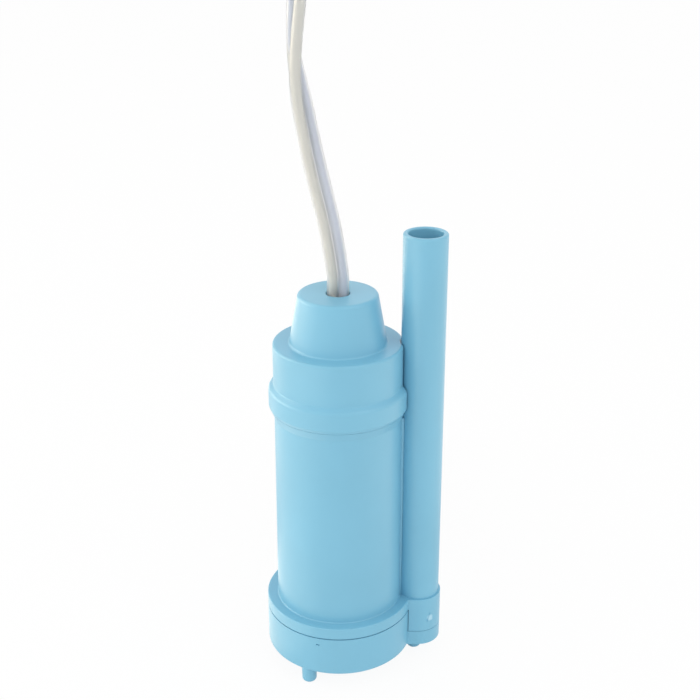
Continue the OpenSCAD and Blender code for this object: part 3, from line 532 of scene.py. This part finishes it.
# Finishes, and the nodes that have them
BLUE = linear(125, 188, 214)
BLUE_ROUGHNESS = 0.36
# Painted highlight on the socket's raised mark: a pale blue spot that stands in for its glint
MARK_PLACE = Vector((20.13, -5.17, 12.3)) * MM
MARK_REACH = 1.1 * MM
MARK_GLINT_COLOUR = linear(172, 216, 234)
blue = moulded("blue_plastic", BLUE, BLUE_ROUGHNESS)
blue_with_painted_glint = moulded("blue_plastic_painted_glint", BLUE, BLUE_ROUGHNESS,
                      painted_glint=(MARK_PLACE, MARK_REACH, MARK_GLINT_COLOUR))
white = moulded("white_plastic", linear(226, 224, 216), roughness=0.45)
rubber = matt("black_rubber", linear(34, 34, 36), roughness=0.7, scale=900.0, depth=0.05 * MM)
ferrite = matt("ferrite", linear(52, 52, 56), roughness=0.75, scale=700.0, depth=0.08 * MM)
carbon = matt("carbon", linear(30, 30, 31), roughness=0.6, scale=1200.0, depth=0.04 * MM)
ceramic = matt("dipped_ceramic", linear(196, 128, 58), roughness=0.4, scale=260.0, depth=0.08 * MM)
steel = metal("drawn_steel", linear(196, 198, 202), roughness=0.32)
brass = metal("brass_sheet", linear(214, 176, 104), roughness=0.34)
bronze = metal("sintered_bronze", linear(168, 122, 78), roughness=0.5, stretch=EVEN)
copper = metal("enamelled_copper", linear(190, 108, 66), roughness=0.35)
vinyl = clear_vinyl("clear_vinyl", linear(242, 242, 243))
warm_strands = strands("warm_strands", linear(243, 243, 232))
cool_strands = strands("cool_strands", linear(228, 238, 253))
tinned = metal("tinned_copper", linear(206, 208, 212), roughness=0.34, stretch=FINE_ALONG_Y)
nylon = ribbed("tie_nylon", linear(40, 40, 43))
lead_skin = moulded("lead_vinyl", linear(222, 214, 198), roughness=0.4)

NODE_MATERIALS = {
    blue: ("top_cap", "base_cover", "riser_pipe"),
    blue_with_painted_glint: ("motor_housing",),
    rubber: ("cap_seal", "cable_grommet", "motor_cushion", "shaft_seal"),
    white: ("cable_clamp", "motor_end_bell", "thrust_washers", "impeller"),
    steel: ("motor_can", "magnet_clips", "motor_screws", "seal_retainer", "motor_shaft",
            "armature_core"),
    ferrite: ("field_magnets",),
    bronze: ("front_bearing", "rear_bearing"),
    carbon: ("carbon_brushes",),
    brass: ("brush_arms", "motor_terminals"),
    ceramic: ("suppressor_capacitor",),
    copper: ("armature_windings", "commutator"),
    vinyl: ("cable_tail", "cable_run", "cable_hank", "lead_ends"),
    lead_skin: ("inner_leads",),
    tinned: ("lead_tips",),
    nylon: ("hank_tie",),
}
for material, names in NODE_MATERIALS.items():
    for name in names:
        nodes[name].data.materials.clear()
        nodes[name].data.materials.append(material)


# Flex pieces
def settle(piece, slot, *replaced):
    """Rides a piece on the pump and hides the solids that it stands for; slot is not used."""
    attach(piece, BODY)
    if replaced:
        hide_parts(*replaced)
    return piece


def lead_line(start, reach, first=0.0, steps=LEAD_STEPS):
    """Points straight out of the hank's end, the way that the split cores lie."""
    return [start + Vector((0, first + (reach - first) * i / steps, 0)) for i in range(steps + 1)]


def make_flex_sheath(line, across):
    build = bmesh.new()
    sweep_into(build, line, across, flex_section())
    sheath = link_mesh("flex_sheath", build, vinyl)
    return settle(sheath, "clear_flex", "cable_run", "cable_hank", "cable_tail")


def make_core(name, side, line, across, material):
    """One stranded conductor, through the flex and on through its split end."""
    core_line = []
    for i, (at, way) in enumerate(zip(line, across)):
        spread = eased((i + 1 + SPREAD_RINGS - len(line)) / SPREAD_RINGS)
        offset = CONDUCTOR_OFFSET + (CORE_OFFSET - CONDUCTOR_OFFSET) * spread
        core_line.append(at + way * side * offset)
    split = lead_line(core_line[-1], LEAD_LENGTH)[1:]
    sides = across + [across[-1]] * len(split)
    build = bmesh.new()
    sweep_into(build, core_line + split, sides, circle(CONDUCTOR_RADIUS, CONDUCTOR_SIDES))
    return settle(link_mesh(name, build, material), "tinned_copper")


def make_lead_sheaths(ends, up):
    """The sheaths of the two split cores, with softly cut ends."""
    build = bmesh.new()
    section = circle(LEAD_RADIUS, LEAD_SIDES)
    for end in ends:
        line = lead_line(end, LEAD_LENGTH)
        sizes = [1.0] * (len(line) - len(LEAD_END_SIZES)) + LEAD_END_SIZES
        sweep_into(build, line, [up] * len(line), section, sizes=sizes)
    return settle(link_mesh("lead_sheaths", build, vinyl), "clear_flex", "lead_ends")


def make_lead_strands(ends, up):
    """Bare ends: strands wound round one another."""
    build = bmesh.new()
    section = circle(STRAND_RADIUS, STRAND_SIDES)
    for end in ends:
        middle = lead_line(end, LEAD_LENGTH + TIP_LENGTH, LEAD_LENGTH - STRAND_RADIUS, STRAND_STEPS)
        sweep_into(build, middle, [up] * len(middle), section)
        for k in range(STRANDS_ROUND):
            line = []
            for at in middle:
                turn = 2 * math.pi * (k / STRANDS_ROUND + (at.y - middle[0].y) / STRAND_LAY)
                line.append(at + Vector((math.cos(turn), 0, math.sin(turn))) * 2 * STRAND_RADIUS)
            sweep_into(build, line, [square_to(up, way) for way in tangents(line)], section)
    return settle(link_mesh("lead_strands", build, tinned), "tinned_copper", "lead_tips")


def add_tie_lock(build, lock):
    """Adds the tie's lock: a small block with rounded edges and a recess in its top."""
    made = bmesh.ops.create_cube(build, size=1.0)["verts"]
    for v in made:
        v.co = lock + Vector((v.co.x * LOCK_SIDE, v.co.y * LOCK_SIDE, v.co.z * LOCK_HEIGHT))
    faces = list({face for v in made for face in v.link_faces})
    top = max(faces, key=lambda face: face.calc_center_median().z)
    bmesh.ops.inset_individual(build, faces=[top], thickness=LOCK_RIM)
    bmesh.ops.translate(build, verts=list(top.verts), vec=(0, 0, -LOCK_RECESS))
    edges = list({edge for v in made for edge in v.link_edges})
    bmesh.ops.bevel(build, geom=edges, offset=LOCK_BEVEL, segments=2, affect="EDGES", profile=0.5)


def make_tie():
    """Nylon tie round the hank's waist: its band, its lock and its cut tail."""
    low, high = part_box("hank_tie")
    half = TIE_THICKNESS / 2
    turn_r = CORE_RADIUS + half
    left, right = low.x + half + turn_r, high.x - half - turn_r
    foot, head = low.z + half + turn_r, high.z - half - turn_r
    middle_y = (low.y + high.y) / 2
    along_y = Vector((0, 1, 0))
    band = []
    for quarter, (x, z) in enumerate([(right, head), (left, head), (left, foot), (right, foot)]):
        for i in range(TIE_TURN_STEPS + 1):
            turn = (quarter + i / TIE_TURN_STEPS) * math.pi / 2
            band.append(Vector((x + turn_r * math.cos(turn), middle_y, z + turn_r * math.sin(turn))))
    build = bmesh.new()
    section = bevelled(TIE_WIDTH / 2, half, TIE_EDGE_CUT)
    sweep_into(build, band, [along_y] * len(band), section, closed=True)
    lock = Vector(((left + right) / 2 + TIE_WIDTH, middle_y, high.z + LOCK_HEIGHT / 2 - half))
    add_tie_lock(build, lock)
    tail = smooth([lock + Vector(p) * MM for p in TIE_TAIL_POINTS_MM], TIE_TAIL_STEPS)
    section = bevelled(TIE_TAIL_HALF_WIDTH, TIE_TAIL_HALF_THICKNESS, TIE_EDGE_CUT)
    sweep_into(build, tail, [along_y] * len(tail), section)
    return settle(link_mesh("waist_tie", build, nylon), "tie_plastic", "hank_tie")


def make_inner_wires():
    """The two cores inside the cap, from the flex down to the motor's terminals."""
    low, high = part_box("inner_leads")
    wire_r = (high.y - low.y) / 2
    reach = (high.x - low.x) / 2 - wire_r
    build = bmesh.new()
    for side in (-1, 1):
        line = []
        for i in range(WIRE_STEPS + 1):
            t = i / WIRE_STEPS
            out = CORE_OFFSET + (reach - CORE_OFFSET) * eased(t)
            line.append(Vector((MOTOR_X + side * out, 0, high.z + (low.z - high.z) * t)))
        sweep_into(build, line, [Vector((0, 1, 0))] * len(line), circle(wire_r, WIRE_SIDES))
    settle(link_mesh("inner_wires", build, lead_skin), "lead_vinyl", "inner_leads")


def make_flex():
    line, across = flex_path()
    sheath = make_flex_sheath(line, across)
    up = across[-1]
    ends = [line[-1] + up * side * CORE_OFFSET for side in (-1, 1)]
    cores = [make_core("flex_core_warm", -1, line, across, warm_strands),
             make_core("flex_core_cool", 1, line, across, cool_strands)]
    leads = [make_lead_sheaths(ends, up), make_lead_strands(ends, up)]
    make_tie()


make_flex()
make_inner_wires()

# Set: pale floor, white surround and soft light
FLOOR_HALF = 6.0
FLOOR_COLOUR = linear(250, 250, 250)
FLOOR_ROUGHNESS = 0.9
# How much of the floor shows as plain white, where the rest shows the shadow
FLOOR_WHITE_SHARE = 0.93
WORLD_LIGHT_LEVEL = 0.85
PLAIN_WHITE = (1.0, 1.0, 1.0, 1.0)


def seen_directly(tree):
    """A socket that is 1 where the camera sees a thing, also in gloss or through glass, and else 0."""
    path = add_node(tree, "LightPath").outputs
    seen = path["Is Camera Ray"]
    for ray in ("Is Glossy Ray", "Is Transmission Ray"):
        seen = add_node(tree, "Math", {0: seen, 1: path[ray]}, operation="MAXIMUM").outputs[0]
    return seen


def make_floor():
    build = bmesh.new()
    bmesh.ops.create_grid(build, x_segments=1, y_segments=1, size=FLOOR_HALF)
    shader = Shader("pale_floor", Base_Color=FLOOR_COLOUR, Roughness=FLOOR_ROUGHNESS,
                    Specular_IOR_Level=0.0)
    share = shader.math("MULTIPLY", seen_directly(shader.tree), FLOOR_WHITE_SHARE)
    glow = shader.node("Emission", {"Color": PLAIN_WHITE, "Strength": 1.0})
    mix = shader.node("MixShader", {0: share, 1: shader.main.outputs[0], 2: glow.outputs[0]})
    shader.tree.links.new(mix.outputs[0], shader.tree.nodes["Material Output"].inputs["Surface"])
    floor = link_mesh("floor", build, shader.material, False)


def make_world():
    """White where it is seen, and a little lower as light."""
    world = bpy.data.worlds.new("surround")
    world.use_nodes = True
    bpy.context.scene.world = world
    tree = world.node_tree
    back = tree.nodes["Background"]
    back.inputs["Color"].default_value = PLAIN_WHITE
    levels = {"Value": seen_directly(tree), "To Min": WORLD_LIGHT_LEVEL, "To Max": 1.0}
    tree.links.new(add_node(tree, "MapRange", levels).outputs["Result"], back.inputs["Strength"])


# Lamps: a level is a lamp's brightness as seen, where white is 1
AIM = Vector((0.0, 0.0, 0.06))
WHITE = (1.0, 1.0, 1.0)
FAINT_WARM = (1.0, 0.96, 0.87)
WARM = (1.0, 0.88, 0.66)
# Panels that face the pump: name, place, size, level, colour and whether they show in gloss alone
PANELS = [
    ("left_panel", (-0.7, -0.6, 0.8), (0.8, 0.8), 0.6, WHITE, False),
    ("right_panel", (0.7, -0.6, 0.8), (0.8, 0.8), 0.9, WHITE, False),
    ("side_panel", (-0.9, -0.1, 0.25), (0.8, 0.4), 2.1, FAINT_WARM, False),
    ("left_wall", (-0.9, 0.3, 0.2), (0.9, 0.4), 4.2, WARM, True),
    ("left_high", (-0.8, 0.4, 0.9), (0.8, 0.8), 2.4, WARM, True),
    ("back_card", (0.0, 1.0, 0.5), (1.4, 0.8), 0.3, WHITE, True),
]
# Warm cards that lie on the floor and show in gloss alone: name, place, degrees about Z, size and level
CARD_HEIGHT = 1.0 * MM
CARDS = [
    ("left_card", (-0.29, 0.02), 0, (0.42, 0.2), 0.75),
    ("near_card", (-0.055, 0.0), 0, (0.06, 0.08), 0.85),
    ("front_left_card", (-0.25, -0.22), 45, (0.28, 0.28), 1.6),
    ("back_left_card", (-0.25, 0.26), 45, (0.28, 0.28), 1.8),
    ("right_card", (0.29, 0.05), 0, (0.42, 0.4), 0.5),
]


def make_lamp(name, place, turn, size, level, colour, gloss_only):
    data = bpy.data.lights.new(name, "AREA")
    data.shape = "RECTANGLE"
    data.size, data.size_y = size
    data.energy = level * math.pi * size[0] * size[1]
    data.color = colour
    lamp = bpy.data.objects.new(name, data)
    lamp.location = place
    lamp.rotation_mode = "QUATERNION"
    lamp.rotation_quaternion = turn
    lamp.visible_camera = False
    lamp.visible_diffuse = not gloss_only
    lamp.visible_transmission = not gloss_only
    bpy.context.scene.collection.objects.link(lamp)


def make_lamps():
    for name, place, size, level, colour, gloss_only in PANELS:
        turn = (AIM - Vector(place)).to_track_quat("-Z", "Y")
        make_lamp(name, place, turn, size, level, colour, gloss_only)
    for name, (x, y), degrees, size, level in CARDS:
        facing_up = Euler((math.pi, 0, math.radians(degrees))).to_quaternion()
        make_lamp(name, (x, y, CARD_HEIGHT), facing_up, size, level, WARM, True)


make_floor()
make_world()
make_lamps()
bpy.context.scene.view_settings.view_transform = "Standard"
